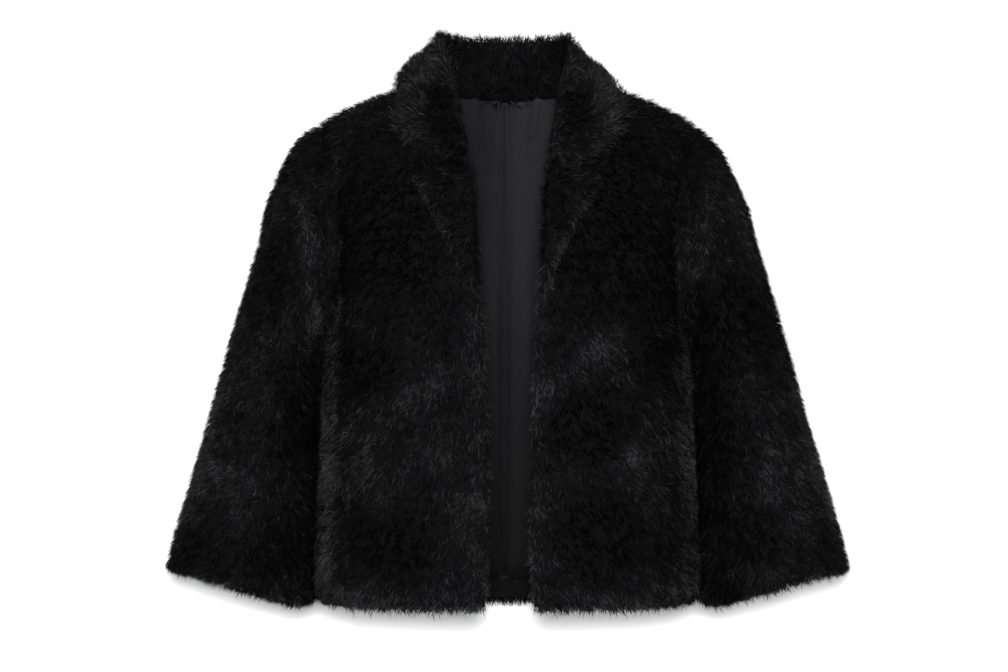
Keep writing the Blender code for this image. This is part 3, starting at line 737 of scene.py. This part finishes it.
make_fur_piece("back_hem_facing", strands=5400, seed=61,
               groom=groom_turn_up)

# Back lining: black satin, hung inside the back with ease. A seam runs down its middle from a small pleat at
# the neck, and loose folds hang from the neck beside it.
LINING_CREASES = [
    ("back", -2, 0, -3, -480, 4, 1.6), ("back", -8, 4, -11, -75, 4.5, -2.4), ("back", 4, 4, 8, -50, 4, -2.4),
    ("back", -18, -10, -24, -300, 9, -0.8), ("back", 16, -30, 22, -360, 10, -1.2),
    ("back", 33, 4, 25, -34, 4, 4.0), ("back", -33, 4, -28, -40, 4, 3.0),
    ("back", -60, -40, -52, -400, 14, -3.0), ("back", 62, -60, 70, -450, 15, -3.0),
    ("back", -110, -90, -118, -430, 16, 3.0), ("back", 115, -120, 108, -440, 18, 3.0),
]
LINING_RELAX = 250  # rounds of smoothing, which take the fur's folds out of the satin
# painted shade: the satin is darkest at the hem and lighter up to the neck
SATIN_PAINTED_SHADE = [  # from the hem up to the neck
    (0.0, (0.0028, 0.0028, 0.0030)),
    (0.5, (0.0076, 0.0076, 0.0087)),
    (1.0, (0.0200, 0.0200, 0.0222)),
]
SATIN_UP = (-0.50, 0.0)  # where the hem and the neck are
# painted sheen and shade across the middle of the back, darker on the left and palest right of the seam, with
# the seam's own dark line
SATIN_PAINTED_SHEEN_AND_SEAM = [  # from side to side over the middle of the back, with the seam's dark line
    (0.0, 0.62), (0.30, 0.70), (0.42, 0.88), (0.46, 0.90),
    (0.475, 0.50), (0.49, 0.95), (0.62, 1.12), (1.0, 1.0),
]
SATIN_ACROSS = (-0.05, 0.05)  # the stretch that those tones cover
NECK_EDGE_UP = (-0.045, -0.010)  # the satin's top edge, which is drawn up to the collar
NECK_EDGE_OUT = (0.055, 0.085)  # as far out as this
NECK_EDGE_RISE = 0.008


def satin_material():
    """Satin with painted shade that makes it a deeper black toward the hem, and painted sheen and shade that
    make it darker on one side of its seam.
    """
    material, shader = principled("satin_lining", (0.024, 0.024, 0.027), 0.45, 0.015)
    shader.inputs["Sheen Weight"].default_value = 0.03
    shader.inputs["Sheen Roughness"].default_value = 0.4
    tree = material.node_tree
    place = tree.nodes.new("ShaderNodeTexCoord")
    split = tree.nodes.new("ShaderNodeSeparateXYZ")
    tree.links.new(place.outputs["Object"], split.inputs["Vector"])
    dye_and_painted_light = dyed(tree, scaled(tree, split.outputs["Z"], *SATIN_UP), SATIN_PAINTED_SHADE)
    stops = [(at, (tone, tone, tone)) for at, tone in SATIN_PAINTED_SHEEN_AND_SEAM]
    sheen_and_seam = dyed(tree, scaled(tree, split.outputs["X"], *SATIN_ACROSS), stops)
    tree.links.new(multiplied(tree, dye_and_painted_light, sheen_and_seam), shader.inputs["Base Color"])
    return material


lining = cloth_of("back_lining", "back_lining_cloth", LINING_CREASES, relax=LINING_RELAX)
lined = mesh_points(lining.data)
at_neck = rising(lined[:, 2], *NECK_EDGE_UP) * (1 - rising(np.abs(lined[:, 0]), *NECK_EDGE_OUT))
lined[:, 2] += NECK_EDGE_RISE * at_neck
lining.data.vertices.foreach_set("co", lined.ravel())
lining.data.materials.clear()
lining.data.materials.append(satin_material())
for polygon in lining.data.polygons:
    polygon.material_index = 0
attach(lining, "root")
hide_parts("back_lining")

# Floor and light: white paper that runs under the jacket and up close behind it. A small soft light stands
# in front, above the camera, and large panels stand behind the paper on both sides and overhead. The paper
# lets their light through, and is clear when it is seen from behind.
FLOOR_UP = -0.70  # below the hem, and out of the picture
FLOOR_FRONT = -6.0
WALL_BACK = 0.165  # just behind the jacket, so that its shadow falls on the paper
WALL_TOP = 4.0
PAPER_HALF_WIDTH = 5.0
COVE = 0.09  # how roundly the floor turns up into the wall
COVE_STEPS = 12
LIGHTS = [  # name, place, what it points at, size, watts
    ("front", (0, -5.3, 0.10), (0, 0, -0.28), (0.5, 0.5), 330),
    ("overhead", (0, 1.2, 2.4), (0, 0, -0.2), (3.0, 2.0), 30),
    ("left_panel", (-2.4, 1.3, 0.0), (0, 0, -0.25), (1.8, 2.4), 45),
    ("right_panel", (2.4, 1.3, 0.0), (0, 0, -0.25), (1.8, 2.4), 42),
    ("rear_panel", (0, 3.4, 0.2), (0, 0, -0.25), (2.4, 2.0), 60),
]
ROOM_GLOW = 0.06  # the light that comes from all round
ROOM_SEEN = 0.95  # how bright the room looks where no paper is in view


def paper_material():
    material, shader = principled("white_paper", (0.93, 0.93, 0.93), 0.9, 0.0)
    tree = material.node_tree
    seen_from = tree.nodes.new("ShaderNodeMixShader")
    behind = tree.nodes.new("ShaderNodeNewGeometry")
    clear = tree.nodes.new("ShaderNodeBsdfTransparent")
    tree.links.new(behind.outputs["Backfacing"], seen_from.inputs["Fac"])
    tree.links.new(shader.outputs["BSDF"], seen_from.inputs[1])
    tree.links.new(clear.outputs["BSDF"], seen_from.inputs[2])
    tree.links.new(seen_from.outputs["Shader"], tree.nodes["Material Output"].inputs["Surface"])
    return material


profile = [(FLOOR_FRONT, FLOOR_UP)]
for step in range(COVE_STEPS + 1):
    angle = math.radians(90 * step / COVE_STEPS)
    profile.append((WALL_BACK - COVE + COVE * math.sin(angle), FLOOR_UP + COVE - COVE * math.cos(angle)))
profile.append((WALL_BACK, WALL_TOP))
paper = bpy.data.meshes.new("paper_sweep")
corners = [(x, y, z) for y, z in profile for x in (-PAPER_HALF_WIDTH, PAPER_HALF_WIDTH)]
strips = [(2 * i, 2 * i + 1, 2 * i + 3, 2 * i + 2) for i in range(len(profile) - 1)]
paper.from_pydata(corners, [], strips)
paper.materials.append(paper_material())
paper.shade_smooth()
sweep = bpy.data.objects.new("paper_sweep", paper)
bpy.context.scene.collection.objects.link(sweep)
sweep.visible_shadow = False  # the lights behind it reach the jacket

for name, at, aim, size, watts in LIGHTS:
    lamp = bpy.data.lights.new(name, "AREA")
    lamp.shape = "RECTANGLE"
    lamp.size, lamp.size_y = size
    lamp.energy = watts
    light = bpy.data.objects.new(name, lamp)
    light.location = at
    light.rotation_euler = (Vector(aim) - Vector(at)).to_track_quat("-Z", "Y").to_euler()
    bpy.context.scene.collection.objects.link(light)

world = bpy.data.worlds.new("studio")
bpy.context.scene.world = world
world.use_nodes = True
room = world.node_tree
background = room.nodes["Background"]
background.inputs["Color"].default_value = (1, 1, 1, 1)
path = room.nodes.new("ShaderNodeLightPath")
glow = scaled(room, path.outputs["Is Camera Ray"], 0.0, 1.0, ROOM_GLOW, ROOM_SEEN)
room.links.new(glow, background.inputs["Strength"])
bpy.context.scene.view_settings.view_transform = "Standard"
